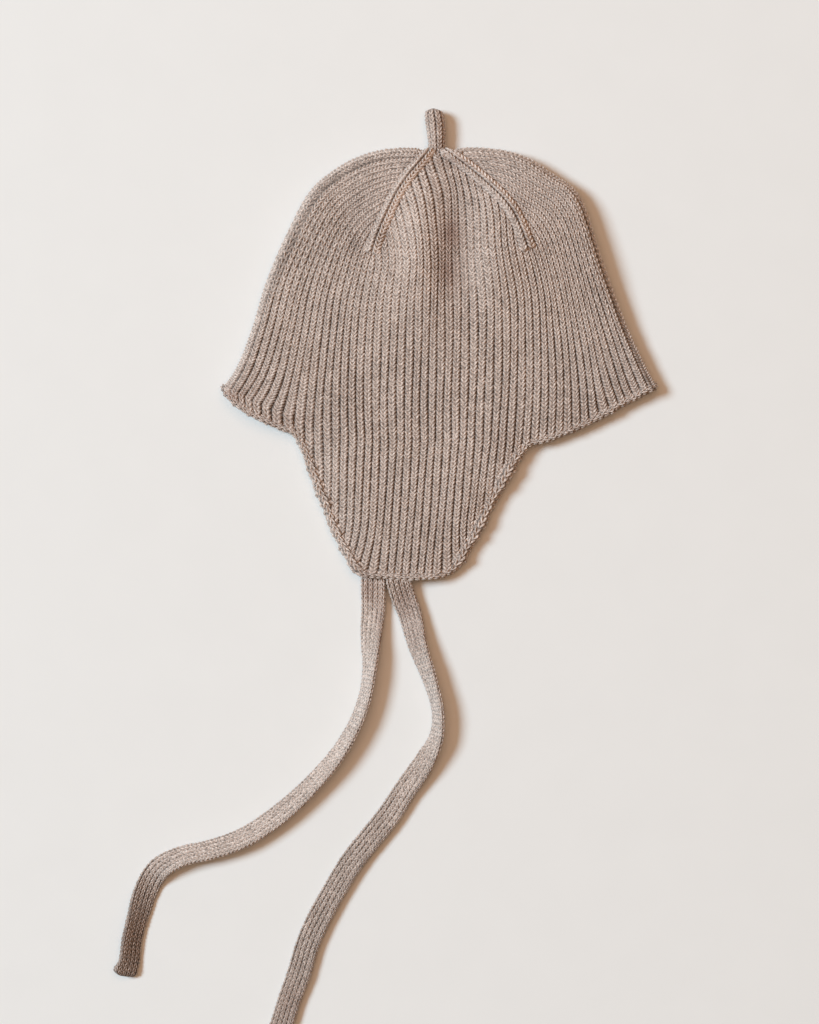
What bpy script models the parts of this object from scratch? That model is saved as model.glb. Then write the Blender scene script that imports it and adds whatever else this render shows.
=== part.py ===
"""Baby bonnet knitted in rib, lying on its side with one ear flap on the other.

The crown, the brim and both ear flaps are one hollow piece of knitting. A short knitted stem
stands on the crown, and a flat knitted tie hangs from the lower edge of each flap.

Metres, +Z up. The bonnet rests on the plane z = 0 with its crown towards +Y. The origin is
under the middle of the bonnet, measured without its ties.
"""
import math
from collections import namedtuple

import bmesh
import bpy
import numpy as np

# Sizes of the knitted body
BRIM_WIDTH = 0.2175
CROWN_HEIGHT = 0.1187
FLAP_LENGTH = 0.068
WALL = 0.0026
MOUTH_GAP = 0.0064
CROWN_SWELL = 0.011
DENT_DEPTH = 0.0045
RIBS_PER_SIDE = 52
RIB_DEPTH = 0.0008
RIDGE_WIDTH = 0.007
RIDGE_HEIGHT = 0.0015

# Sizes of the stem and the ties
STEM_DIAMETER = 0.0098
STEM_LENGTH = 0.021
STEM_LEAN = 0.0018
TIE_WIDTH = 0.0125
TIE_THICKNESS = 0.003
TIE_POINT_SPACING = 0.008
CLEARANCE = 0.0003

# Two layers of knitting lie on each other and turn round at the fold
LAYERS = 2 * WALL + MOUTH_GAP
FOLD_RADIUS = LAYERS / 2

# Rows of the knitting from the brim line up to the crown top, each a curve across one side.
# A pair is a share of BRIM_WIDTH across and a share of CROWN_HEIGHT above the brim corners.
Section = namedtuple("Section", "level fold_left ridge_left middle ridge_right fold_right")
SECTIONS = [
    Section(0.00, (-0.500, 0.002), (-0.208, -0.213), (0.010, -0.225), (0.247, -0.213), (0.500, 0.011)),
    Section(0.23, (-0.468, 0.091), (-0.206, -0.023), (0.010, -0.044), (0.247, -0.019), (0.470, 0.116)),
    Section(0.51, (-0.431, 0.263), (-0.197, 0.200), (0.013, 0.179), (0.240, 0.217), (0.426, 0.293)),
    Section(0.75, (-0.395, 0.474), (-0.183, 0.377), (0.015, 0.364), (0.229, 0.406), (0.378, 0.528)),
    Section(1.00, (-0.318, 0.777), (-0.153, 0.583), (0.015, 0.562), (0.199, 0.596), (0.330, 0.789)),
    Section(1.30, (-0.247, 0.916), (-0.123, 0.722), (0.015, 0.701), (0.164, 0.747), (0.266, 0.899)),
    Section(1.60, (-0.151, 0.998), (-0.086, 0.853), (0.013, 0.832), (0.105, 0.865), (0.171, 0.994)),
    Section(1.85, (-0.061, 1.013), (-0.043, 0.954), (0.001, 0.933), (0.043, 0.958), (0.061, 1.015)),
    Section(2.00, (-0.025, 1.000), (-0.020, 1.000), (-0.006, 1.000), (0.008, 1.000), (0.014, 1.000)),
]
RIDGE_FOOT_LEVEL = 1.0
CROWN_TOP_LEVEL = 2.0

# Place of each column of SECTIONS, as a share of the ribs across one side
LEFT_RIDGE = 0.27
RIGHT_RIDGE = 0.75
COLUMNS = np.array([0.0, LEFT_RIDGE, 0.5, RIGHT_RIDGE, 1.0])

# Lower edge of the knitting: a share of the ribs, and how far down the flap that rib ends
FlapEdge = namedtuple("FlapEdge", "rib drop")
FLAP_EDGE = [
    FlapEdge(0.000, 0.00), FlapEdge(0.020, 0.05), FlapEdge(0.060, 0.08), FlapEdge(0.110, 0.08),
    FlapEdge(0.160, 0.08), FlapEdge(0.200, 0.35), FlapEdge(0.238, 0.62), FlapEdge(0.287, 0.88),
    FlapEdge(0.318, 0.98), FlapEdge(0.440, 1.00), FlapEdge(0.540, 0.98), FlapEdge(0.565, 0.90),
    FlapEdge(0.607, 0.64), FlapEdge(0.645, 0.33), FlapEdge(0.673, 0.17), FlapEdge(0.700, 0.00),
    FlapEdge(1.000, 0.00),
]
FLAP_LEVELS = 0.75
FLAP_END_MIDDLE = -0.018
FLAP_END_SPREAD = 0.879

# Swells and dents of the upper layer, in shares of BRIM_WIDTH and CROWN_HEIGHT.
# The rise is a share of CROWN_SWELL for the swell and of DENT_DEPTH for the others.
Swell = namedtuple("Swell", "across up half_width half_height rise")
CROWN_DOME = Swell(0.008, 0.53, 0.240, 0.26, 1.0)
DENTS = [
    Swell(0.036, 0.60, 0.044, 0.20, -1.0),
    Swell(-0.045, 0.56, 0.037, 0.22, 0.45),
    Swell(0.139, 0.56, 0.040, 0.20, 0.45),
]

# Levels of the rings of faces, from the lower edge up
BODY_ROWS = (0.0, 0.1, 0.22, 0.36, 0.5, 0.64, 0.78, 0.9, 1.0)
CROWN_LEVELS = (1.05, 1.12, 1.21, 1.3, 1.4, 1.5, 1.6, 1.7, 1.8, 1.88, 1.94)
LINING_CROWN_LEVELS = (1.15, 1.3, 1.45, 1.6, 1.76)
RIB_FADE_LEVEL = 0.8
FOLD_LINE_POINTS = 61
NORMAL_STEP = 0.004

# Columns of faces over the crown: shares of a shoulder from the fold, and counts
SHOULDER_COLUMNS = (0.0, 0.07, 0.14, 0.25, 0.5, 0.75)
MIDDLE_COLUMNS = 8
GROUND_COLUMNS = 14

# Cross-section of a ridge: two strands with a furrow between them
Strand = namedtuple("Strand", "offset lift")
RIDGE_PROFILE = (Strand(-1.0, 0.0), Strand(-0.5, 1.0), Strand(0.0, 0.5), Strand(0.5, 1.0), Strand(1.0, 0.0))
RIDGE_RAMP = 0.05
RIDGE_MOST_RIBS = 0.08

# Stem sections: shares of STEM_LENGTH and of STEM_DIAMETER
StemSection = namedtuple("StemSection", "up girth")
STEM_SECTIONS = [
    StemSection(0.00, 0.84), StemSection(0.20, 0.86), StemSection(0.45, 0.95), StemSection(0.68, 1.00),
    StemSection(0.84, 0.97), StemSection(0.94, 0.80), StemSection(1.00, 0.42),
]

# Routes of the ties: metres from the origin, height of the lower edge, degrees turned from flat
Stop = namedtuple("Stop", "across along lift turn")
ABOVE_LOWER_FLAP = WALL + CLEARANCE
BELOW_UPPER_FLAP = WALL + MOUTH_GAP - CLEARANCE - TIE_THICKNESS
GROUND = 0.0001
LOWER_FLAP_TIE_ROUTE = [
    Stop(-0.0333, -0.1130, ABOVE_LOWER_FLAP, 0), Stop(-0.0333, -0.1209, ABOVE_LOWER_FLAP, 0),
    Stop(-0.0333, -0.1344, 0.0004, 14), Stop(-0.0343, -0.1489, GROUND, 36),
    Stop(-0.0348, -0.1614, GROUND, 58), Stop(-0.0377, -0.1794, GROUND, 64),
    Stop(-0.0457, -0.1979, GROUND, 60), Stop(-0.0638, -0.2214, GROUND, 45),
    Stop(-0.0803, -0.2364, GROUND, 38), Stop(-0.0983, -0.2484, GROUND, 40),
    Stop(-0.1158, -0.2544, GROUND, 42), Stop(-0.1298, -0.2579, GROUND, 40),
    Stop(-0.1407, -0.2639, GROUND, 20), Stop(-0.1472, -0.2744, GROUND, -12),
    Stop(-0.1512, -0.2874, GROUND, -32), Stop(-0.1542, -0.2994, GROUND, -36),
    Stop(-0.1557, -0.3109, GROUND, -34), Stop(-0.1573, -0.3179, GROUND, -30),
]
UPPER_FLAP_TIE_ROUTE = [
    Stop(-0.0213, -0.1130, BELOW_UPPER_FLAP, 0), Stop(-0.0204, -0.1199, BELOW_UPPER_FLAP, 0),
    Stop(-0.0187, -0.1259, 0.0034, 4), Stop(-0.0147, -0.1364, 0.0008, 18),
    Stop(-0.0107, -0.1524, GROUND, 42), Stop(-0.0043, -0.1704, GROUND, 60),
    Stop(-0.0008, -0.1839, GROUND, 68), Stop(-0.0013, -0.1969, GROUND, 62),
    Stop(-0.0077, -0.2104, GROUND, 34), Stop(-0.0168, -0.2239, GROUND, 18),
    Stop(-0.0253, -0.2369, GROUND, 14), Stop(-0.0340, -0.2479, GROUND, 14),
    Stop(-0.0452, -0.2624, GROUND, 14), Stop(-0.0558, -0.2804, GROUND, 14),
    Stop(-0.0653, -0.2994, GROUND, 14), Stop(-0.0707, -0.3169, GROUND, 14),
    Stop(-0.0757, -0.3309, GROUND, 12), Stop(-0.0783, -0.3394, GROUND, 12),
    Stop(-0.0818, -0.3509, GROUND, 12),
]

# Wool colours, linear
BODY_WOOL = (0.345, 0.262, 0.226, 1.0)
STEM_WOOL = (0.330, 0.246, 0.212, 1.0)
TIE_WOOL = (0.372, 0.277, 0.235, 1.0)


def clear_scene():
    """Remove what a new file holds."""
    for old in list(bpy.data.objects):
        bpy.data.objects.remove(old, do_unlink=True)


def wool(name, colour):
    """Matt wool material."""
    material = bpy.data.materials.new(name)
    material.use_nodes = True
    shader = material.node_tree.nodes["Principled BSDF"]
    shader.inputs["Base Color"].default_value = colour
    shader.inputs["Roughness"].default_value = 0.9
    shader.inputs["Metallic"].default_value = 0.0
    return material


def smooth(knots, values, place):
    """Value at one place on a smooth curve through the knots."""
    slopes = np.gradient(values, knots, axis=0)
    k = int(np.clip(np.searchsorted(knots, place, side="right") - 1, 0, len(knots) - 2))
    span = knots[k + 1] - knots[k]
    t = min(max((place - knots[k]) / span, 0.0), 1.0)
    start = (1 + 2 * t) * (1 - t) ** 2 * values[k] + t * (1 - t) ** 2 * span * slopes[k]
    end = t ** 2 * (3 - 2 * t) * values[k + 1] - t ** 2 * (1 - t) * span * slopes[k + 1]
    return start + end


def section_points():
    """Points of the section table in metres, by column, level and axis."""
    pairs = np.array([row[1:] for row in SECTIONS])
    return np.transpose(pairs, (1, 0, 2)) * (BRIM_WIDTH, CROWN_HEIGHT)


POINTS = section_points()
LEVELS = np.array([row.level for row in SECTIONS])

# Heights above the brim corners that set the origin
FLAP_END = SECTIONS[0].middle[1] * CROWN_HEIGHT - FLAP_LENGTH
SEAT = CROWN_HEIGHT
MIDDLE_Y = (FLAP_END + SEAT + CLEARANCE + STEM_LENGTH) / 2
SEAT_X = SECTIONS[-1].middle[0] * BRIM_WIDTH


def planform(rib, level):
    """Place seen from above of a share of the ribs at a level of the knitting."""
    point = smooth(LEVELS, smooth(COLUMNS, POINTS, rib), max(level, 0.0))
    if level < 0:
        drop = -level / FLAP_LEVELS
        end = np.array([(FLAP_END_MIDDLE + (rib - 0.5) * FLAP_END_SPREAD) * BRIM_WIDTH, FLAP_END])
        point = point * (1 - drop) + end * drop
    return point - (0.0, MIDDLE_Y)


def edge_level(rib):
    """Level at which a rib ends at the lower edge."""
    drop = np.interp(rib, [row.rib for row in FLAP_EDGE], [row.drop for row in FLAP_EDGE])
    return -FLAP_LEVELS * float(drop)


def fold_line():
    """The outline along which the two layers turn into each other."""
    levels = np.linspace(0.0, CROWN_TOP_LEVEL, FOLD_LINE_POINTS)
    left = [planform(0.0, level) for level in levels]
    right = [planform(1.0, level) for level in levels[::-1]]
    return np.array(left + right)


FOLD_LINE = fold_line()


def distance_to_fold(place):
    """Distance seen from above to the fold line."""
    start, end = FOLD_LINE[:-1], FOLD_LINE[1:]
    run = end - start
    along = np.sum((place - start) * run, axis=1) / np.maximum(np.sum(run * run, axis=1), 1e-18)
    nearest = start + run * np.clip(along, 0.0, 1.0)[:, None]
    return float(np.min(np.linalg.norm(place - nearest, axis=1)))


def swell_at(place, swell, height):
    """Height that one swell or dent adds at a place."""
    x = (place[0] - swell.across * BRIM_WIDTH) / (swell.half_width * BRIM_WIDTH)
    y = (place[1] + MIDDLE_Y - swell.up * CROWN_HEIGHT) / (swell.half_height * CROWN_HEIGHT)
    return height * swell.rise * math.exp(-(x * x + y * y) / 2)


def top_height(place):
    """Height of the upper layer's outer face, away from the fold."""
    dents = sum(swell_at(place, dent, DENT_DEPTH) for dent in DENTS)
    return LAYERS + swell_at(place, CROWN_DOME, CROWN_SWELL) + dents


def outer_face(turn, level):
    """Point of the outer face: turn runs from 0 to 1 over the upper layer and to 2 below it."""
    turn = turn % 2.0
    rib = min(turn, 2.0 - turn)
    place = planform(rib, level)
    away = min(distance_to_fold(place) / FOLD_RADIUS, 1.0)
    rounding = math.sqrt(max(1 - (1 - away) ** 2, 0.0))
    if turn <= 1.0:
        height = FOLD_RADIUS + (top_height(place) - FOLD_RADIUS) * rounding
    else:
        height = FOLD_RADIUS * (1 - rounding)
    return np.array([place[0], place[1], height])


def outward(turn, level):
    """Outward direction of the outer face."""
    across = outer_face(turn + NORMAL_STEP, level) - outer_face(turn - NORMAL_STEP, level)
    up = outer_face(turn, level + NORMAL_STEP) - outer_face(turn, level - NORMAL_STEP)
    normal = np.cross(across, up)
    return normal / np.linalg.norm(normal)


def rib_depth(turn, level):
    """Depth of the furrows between the ribs of the upper layer, none on the ground side."""
    if turn >= 1.0 or level >= RIDGE_FOOT_LEVEL:
        return 0.0
    furrow = (1 - math.cos(2 * math.pi * turn * RIBS_PER_SIDE)) / 2
    fade = min((RIDGE_FOOT_LEVEL - level) / (RIDGE_FOOT_LEVEL - RIB_FADE_LEVEL), 1.0)
    return RIB_DEPTH * furrow * fade


def ring(mesh, columns, level_of, lift_of):
    """One ring of vertices round the body, as pairs of a turn and its vertex."""
    made = []
    for turn in columns:
        level = level_of(turn)
        point = outer_face(turn, level)
        lift = lift_of(turn, level)
        if lift:
            point = point + outward(turn, level) * lift
        made.append((turn, mesh.verts.new(point)))
    return made


def bridge(mesh, low, high, facing_out=True):
    """Faces between two rings, which may have different numbers of vertices."""
    low_turns = [turn for turn, _ in low] + [2.0]
    high_turns = [turn for turn, _ in high] + [2.0]
    i = j = 0
    while i < len(low) or j < len(high):
        next_low = low_turns[i + 1] if i < len(low) else math.inf
        next_high = high_turns[j + 1] if j < len(high) else math.inf
        same = abs(next_low - next_high) < 1e-9
        corners = [low[i % len(low)][1]]
        upper = high[j % len(high)][1]
        if same or next_low < next_high:
            i += 1
            corners.append(low[i % len(low)][1])
        if same or next_high < next_low:
            j += 1
            corners.append(high[j % len(high)][1])
        corners.append(upper)
        mesh.faces.new(corners if facing_out else corners[::-1])


def body_columns():
    """Turns of the outer face: two to a rib above, and one to two ribs on the ground side."""
    half_ribs = 2 * RIBS_PER_SIDE
    upper = [k / half_ribs for k in range(half_ribs + 1)]
    near_fold = (1, 2)
    ground = list(near_fold) + list(range(4, half_ribs - 3, 4)) + [half_ribs - k for k in near_fold[::-1]]
    return upper + [1 + k / half_ribs for k in ground]


def lining_columns():
    """Turns of the inner face, which has no ribs."""
    upper = [0.0] + [k / RIBS_PER_SIDE for k in range(1, RIBS_PER_SIDE, 2)] + [1.0]
    return upper + [1 + turn for turn in upper[1:-1]]


def ridge_marks(ridge, level):
    """Turns over one ridge, with the share of the ridge height of each."""
    step = planform(ridge + NORMAL_STEP, level) - planform(ridge, level)
    width_of_ribs = np.linalg.norm(step) / NORMAL_STEP
    half = min(RIDGE_WIDTH / 2 / width_of_ribs, RIDGE_MOST_RIBS)
    return [(ridge + strand.offset * half, strand.lift) for strand in RIDGE_PROFILE]


def crown_columns(level):
    """Turns over the upper layer of the crown, with the share of the ridge height of each."""
    left = ridge_marks(LEFT_RIDGE, level)
    right = ridge_marks(RIGHT_RIDGE, level)
    left_end, right_start = left[0][0], right[-1][0]
    between = np.linspace(left[-1][0], right[0][0], MIDDLE_COLUMNS + 1)[1:-1]
    columns = [(share * left_end, 0.0) for share in SHOULDER_COLUMNS] + left
    columns += [(float(turn), 0.0) for turn in between] + right
    return columns + [(1.0 - share * (1.0 - right_start), 0.0) for share in SHOULDER_COLUMNS[::-1]]


def ground_columns():
    """Turns over the lower layer of the crown, which has no ridges to show."""
    fold_step = 1 / GROUND_COLUMNS / 4
    shares = [fold_step, 2 * fold_step] + [k / GROUND_COLUMNS for k in range(1, GROUND_COLUMNS)]
    return [1.0 + share for share in shares + [1 - 2 * fold_step, 1 - fold_step]]


def crown_ring(mesh, level):
    """A ring of the crown with its two ridges on the upper layer."""
    ramp = min((level - RIDGE_FOOT_LEVEL) / RIDGE_RAMP, 1.0)
    lifts = {turn: share * RIDGE_HEIGHT * ramp for turn, share in crown_columns(level)}
    lifts.update({turn: 0.0 for turn in ground_columns()})
    return ring(mesh, list(lifts), lambda turn: level, lambda turn, _: lifts[turn])


def seat_ring(mesh, turns):
    """The round seat of the stem, facing +Y at the crown top."""
    made = []
    radius = STEM_DIAMETER * STEM_SECTIONS[0].girth / 2
    for turn in turns:
        angle = math.pi * (1 - turn)
        x = SEAT_X + radius * math.cos(angle)
        z = FOLD_RADIUS + radius * math.sin(angle)
        made.append((turn, mesh.verts.new((x, SEAT - MIDDLE_Y, z))))
    return made


def row_level(share):
    """Level of a share of the way from the lower edge to the ridge feet, for each rib."""
    def level(turn):
        edge = edge_level(min(turn, 2.0 - turn))
        return edge + share * (RIDGE_FOOT_LEVEL - edge)
    return level


def knitted_body():
    """Crown, brim and both ear flaps: one hollow piece, open along its lower edge."""
    mesh = bmesh.new()
    outer = [
        ring(mesh, body_columns(), row_level(share), lambda turn, level: -rib_depth(turn, level))
        for share in BODY_ROWS
    ]
    outer += [crown_ring(mesh, level) for level in CROWN_LEVELS]
    outer.append(seat_ring(mesh, [turn for turn, _ in outer[-1]]))
    inner = [ring(mesh, lining_columns(), row_level(share), lambda turn, level: -WALL) for share in BODY_ROWS]
    inner += [
        ring(mesh, lining_columns()[::2], lambda turn, at=level: at, lambda turn, level: -WALL)
        for level in LINING_CROWN_LEVELS
    ]
    for low, high in zip(outer, outer[1:]):
        bridge(mesh, low, high)
    for low, high in zip(inner, inner[1:]):
        bridge(mesh, low, high, facing_out=False)
    bridge(mesh, inner[0], outer[0])
    mesh.faces.new([vertex for _, vertex in outer[-1]])
    top = mesh.faces.new([vertex for _, vertex in reversed(inner[-1])])
    bmesh.ops.poke(mesh, faces=[top])
    return mesh


def add_mesh(name, mesh, material):
    """A named object from a finished bmesh."""
    data = bpy.data.meshes.new(name)
    mesh.to_mesh(data)
    mesh.free()
    data.shade_smooth()
    data.materials.append(material)
    placed = bpy.data.objects.new(name, data)
    bpy.context.collection.objects.link(placed)
    return placed


def add_curve(name, points, material):
    """A named curve through points, each a place, a radius share and a tilt."""
    curve = bpy.data.curves.new(name, "CURVE")
    curve.dimensions = "3D"
    curve.twist_mode = "Z_UP"
    curve.use_fill_caps = True
    curve.materials.append(material)
    spline = curve.splines.new("POLY")
    spline.points.add(len(points) - 1)
    for point, (place, radius, tilt) in zip(spline.points, points):
        point.co = (*place, 1.0)
        point.radius = radius
        point.tilt = tilt
    placed = bpy.data.objects.new(name, curve)
    bpy.context.collection.objects.link(placed)
    return placed


def top_stem(material):
    """Knitted stem on the crown's seat, leaning a little to the left."""
    points = []
    for row in STEM_SECTIONS:
        x = SEAT_X - STEM_LEAN * row.up ** 2
        y = SEAT - MIDDLE_Y + CLEARANCE + STEM_LENGTH * row.up
        points.append(((x, y, FOLD_RADIUS), row.girth, 0.0))
    stem = add_curve("top_stem", points, material)
    stem.data.bevel_depth = STEM_DIAMETER / 2
    stem.data.bevel_resolution = 2
    return stem


def tie_points(route):
    """Even points on a smooth curve through a tie's route, each a place and a turn from flat."""
    stops = np.array([(stop.across, stop.along, stop.lift, stop.turn) for stop in route])
    steps = np.linalg.norm(np.diff(stops[:, :2], axis=0), axis=1)
    lengths = np.concatenate(([0.0], np.cumsum(steps)))
    count = round(lengths[-1] / TIE_POINT_SPACING) + 1
    points = []
    for length in np.linspace(0.0, lengths[-1], count):
        across, along, lift, turn = smooth(lengths, stops, length)
        angle = math.radians(turn)
        half_height = abs(math.sin(angle)) * (TIE_WIDTH - TIE_THICKNESS) / 2 + TIE_THICKNESS / 2
        points.append(((across, along, max(lift, GROUND) + half_height), 1.0, math.pi / 2 + angle))
    return points


def flat_tie(name, route, material):
    """Flat knitted tie with rounded edges along its route."""
    tie = add_curve(name, tie_points(route), material)
    tie.data.extrude = (TIE_WIDTH - TIE_THICKNESS) / 2
    tie.data.bevel_depth = TIE_THICKNESS / 2
    tie.data.bevel_resolution = 1
    return tie


def main():
    """Build the bonnet."""
    clear_scene()
    add_mesh("bonnet_body", knitted_body(), wool("body_wool", BODY_WOOL))
    top_stem(wool("stem_wool", STEM_WOOL))
    tie_wool = wool("tie_wool", TIE_WOOL)
    flat_tie("lower_flap_tie", LOWER_FLAP_TIE_ROUTE, tie_wool)
    flat_tie("upper_flap_tie", UPPER_FLAP_TIE_ROUTE, tie_wool)


main()
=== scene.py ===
"""Looks of the knitted baby bonnet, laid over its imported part.

Each piece of knitting is a grid of stitches: wales run up the bonnet, rows run across it, and
the two legs of a stitch meet in the middle of its wale. A wale and a row are counted as the
knitter counts them, and a short function says where on the bonnet they lie.

Metres, +Z up, in the frame of the part.
"""
import math
from collections import namedtuple

import bmesh
import bpy
import numpy as np
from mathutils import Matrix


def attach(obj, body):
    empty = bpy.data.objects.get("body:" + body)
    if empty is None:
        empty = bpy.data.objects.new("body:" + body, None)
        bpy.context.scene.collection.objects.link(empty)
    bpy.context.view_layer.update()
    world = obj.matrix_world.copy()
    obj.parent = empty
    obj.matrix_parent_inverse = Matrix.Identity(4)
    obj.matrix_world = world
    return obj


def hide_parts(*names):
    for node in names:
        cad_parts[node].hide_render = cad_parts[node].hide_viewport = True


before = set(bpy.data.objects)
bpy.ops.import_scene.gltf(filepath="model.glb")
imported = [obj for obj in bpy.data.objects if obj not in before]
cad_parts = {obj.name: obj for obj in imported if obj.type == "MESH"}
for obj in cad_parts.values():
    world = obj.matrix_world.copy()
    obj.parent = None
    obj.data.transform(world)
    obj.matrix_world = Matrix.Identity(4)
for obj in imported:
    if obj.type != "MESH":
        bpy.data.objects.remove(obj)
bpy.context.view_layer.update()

# Sizes of the knitted body, as in the part
BRIM_WIDTH = 0.2175
CROWN_HEIGHT = 0.1187
FLAP_LENGTH = 0.068
WALL = 0.0026
MOUTH_GAP = 0.0064
CROWN_SWELL = 0.011
DENT_DEPTH = 0.0045
STEM_DIAMETER = 0.0098
STEM_LENGTH = 0.021
STEM_LEAN = 0.0018
TIE_WIDTH = 0.0125
TIE_THICKNESS = 0.003
CLEARANCE = 0.0003
FOLD_RADIUS = WALL + MOUTH_GAP / 2

# Rows of the knitting, as in the part: shares of BRIM_WIDTH across and of CROWN_HEIGHT up
Section = namedtuple("Section", "level fold_left ridge_left middle ridge_right fold_right")
SECTIONS = [
    Section(0.00, (-0.500, 0.002), (-0.208, -0.213), (0.010, -0.225), (0.247, -0.213), (0.500, 0.011)),
    Section(0.23, (-0.468, 0.091), (-0.206, -0.023), (0.010, -0.044), (0.247, -0.019), (0.470, 0.116)),
    Section(0.51, (-0.431, 0.263), (-0.197, 0.200), (0.013, 0.179), (0.240, 0.217), (0.426, 0.293)),
    Section(0.75, (-0.395, 0.474), (-0.183, 0.377), (0.015, 0.364), (0.229, 0.406), (0.378, 0.528)),
    Section(1.00, (-0.318, 0.777), (-0.153, 0.583), (0.015, 0.562), (0.199, 0.596), (0.330, 0.789)),
    Section(1.30, (-0.247, 0.916), (-0.123, 0.722), (0.015, 0.701), (0.164, 0.747), (0.266, 0.899)),
    Section(1.60, (-0.151, 0.998), (-0.086, 0.853), (0.013, 0.832), (0.105, 0.865), (0.171, 0.994)),
    Section(1.85, (-0.061, 1.013), (-0.043, 0.954), (0.001, 0.933), (0.043, 0.958), (0.061, 1.015)),
    Section(2.00, (-0.025, 1.000), (-0.020, 1.000), (-0.006, 1.000), (0.008, 1.000), (0.014, 1.000)),
]
LEFT_RIDGE = 0.27
RIGHT_RIDGE = 0.75
COLUMNS = np.array([0.0, LEFT_RIDGE, 0.5, RIGHT_RIDGE, 1.0])
LEVELS = np.array([row.level for row in SECTIONS])
POINTS = np.transpose(np.array([row[1:] for row in SECTIONS]), (1, 0, 2)) * (BRIM_WIDTH, CROWN_HEIGHT)

# Lower edge of the knitting, as in the part
FlapEdge = namedtuple("FlapEdge", "rib drop")
FLAP_EDGE = [
    FlapEdge(0.000, 0.00), FlapEdge(0.020, 0.05), FlapEdge(0.060, 0.08), FlapEdge(0.110, 0.08),
    FlapEdge(0.160, 0.08), FlapEdge(0.200, 0.35), FlapEdge(0.238, 0.62), FlapEdge(0.287, 0.88),
    FlapEdge(0.318, 0.98), FlapEdge(0.440, 1.00), FlapEdge(0.540, 0.98), FlapEdge(0.565, 0.90),
    FlapEdge(0.607, 0.64), FlapEdge(0.645, 0.33), FlapEdge(0.673, 0.17), FlapEdge(0.700, 0.00),
    FlapEdge(1.000, 0.00),
]
FLAP_LEVELS = 0.75
FLAP_END_MIDDLE = -0.018
FLAP_END_SPREAD = 0.879

# Swells and dents of the upper layer, as in the part
Swell = namedtuple("Swell", "across up half_width half_height rise")
SWELLS = [
    Swell(0.008, 0.53, 0.240, 0.26, CROWN_SWELL),
    Swell(0.036, 0.60, 0.044, 0.20, -DENT_DEPTH),
    Swell(-0.045, 0.56, 0.037, 0.22, 0.45 * DENT_DEPTH),
    Swell(0.139, 0.56, 0.040, 0.20, 0.45 * DENT_DEPTH),
]

# Places that the origin sets
FLAP_END = SECTIONS[0].middle[1] * CROWN_HEIGHT - FLAP_LENGTH
MIDDLE_Y = (FLAP_END + CROWN_HEIGHT + CLEARANCE + STEM_LENGTH) / 2
STEM_FOOT = (SECTIONS[-1].middle[0] * BRIM_WIDTH, CROWN_HEIGHT - MIDDLE_Y + CLEARANCE, FOLD_RADIUS)

# Routes of the ties, as in the part: metres, height of the lower edge, degrees turned from flat
Stop = namedtuple("Stop", "across along lift turn")
ABOVE_LOWER_FLAP = WALL + CLEARANCE
BELOW_UPPER_FLAP = WALL + MOUTH_GAP - CLEARANCE - TIE_THICKNESS
GROUND = 0.0001
LOWER_FLAP_TIE_ROUTE = [
    Stop(-0.0333, -0.1130, ABOVE_LOWER_FLAP, 0), Stop(-0.0333, -0.1209, ABOVE_LOWER_FLAP, 0),
    Stop(-0.0333, -0.1344, 0.0004, 14), Stop(-0.0343, -0.1489, GROUND, 36),
    Stop(-0.0348, -0.1614, GROUND, 58), Stop(-0.0377, -0.1794, GROUND, 64),
    Stop(-0.0457, -0.1979, GROUND, 60), Stop(-0.0638, -0.2214, GROUND, 45),
    Stop(-0.0803, -0.2364, GROUND, 38), Stop(-0.0983, -0.2484, GROUND, 40),
    Stop(-0.1158, -0.2544, GROUND, 42), Stop(-0.1298, -0.2579, GROUND, 40),
    Stop(-0.1407, -0.2639, GROUND, 20), Stop(-0.1472, -0.2744, GROUND, -12),
    Stop(-0.1512, -0.2874, GROUND, -32), Stop(-0.1542, -0.2994, GROUND, -36),
    Stop(-0.1557, -0.3109, GROUND, -34), Stop(-0.1573, -0.3179, GROUND, -30),
]
UPPER_FLAP_TIE_ROUTE = [
    Stop(-0.0213, -0.1130, BELOW_UPPER_FLAP, 0), Stop(-0.0204, -0.1199, BELOW_UPPER_FLAP, 0),
    Stop(-0.0187, -0.1259, 0.0034, 4), Stop(-0.0147, -0.1364, 0.0008, 18),
    Stop(-0.0107, -0.1524, GROUND, 42), Stop(-0.0043, -0.1704, GROUND, 60),
    Stop(-0.0008, -0.1839, GROUND, 68), Stop(-0.0013, -0.1969, GROUND, 62),
    Stop(-0.0077, -0.2104, GROUND, 34), Stop(-0.0168, -0.2239, GROUND, 18),
    Stop(-0.0253, -0.2369, GROUND, 14), Stop(-0.0340, -0.2479, GROUND, 14),
    Stop(-0.0452, -0.2624, GROUND, 14), Stop(-0.0558, -0.2804, GROUND, 14),
    Stop(-0.0653, -0.2994, GROUND, 14), Stop(-0.0707, -0.3169, GROUND, 14),
    Stop(-0.0757, -0.3309, GROUND, 12), Stop(-0.0783, -0.3394, GROUND, 12),
    Stop(-0.0818, -0.3509, GROUND, 12),
]

# Counts of the knitting. The crown's three panels have wales and rows of their own.
WALES = 52
LEFT_WALES = 15
RIGHT_WALES = 14
MIDDLE_WALES = WALES - LEFT_WALES - RIGHT_WALES
BRIM_ROWS = 47
MIDDLE_CROWN_ROWS = 28
SHOULDER_ROWS = 36
FLAP_WALES = (8, 37)
TIE_WALES = 12
STEM_WALES = 8
RIM_WALES = 4

# Length of one row of the ties, the stem, the rim chain and the ridges
TIE_ROW = 0.0021
STEM_ROW = 0.0021
RIM_ROW = 0.0032
RIDGE_ROW = 0.0021

# Levels between which the wales bend from the brim's panels into the narrowing panels of the crown
BEND_START = 0.85
BEND_END = 1.15

# Wales of the middle panel draw apart above a level left of its middle, and together right of it
STRETCH_START = 0.9
LEFT_STRETCH = 0.5
RIGHT_STRETCH = -0.05

# How far wales wander sideways, and how many rows of the crown run on under its ridges
WANDER = 0.16
ROWS_UNDER_RIDGE = 2.5

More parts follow.
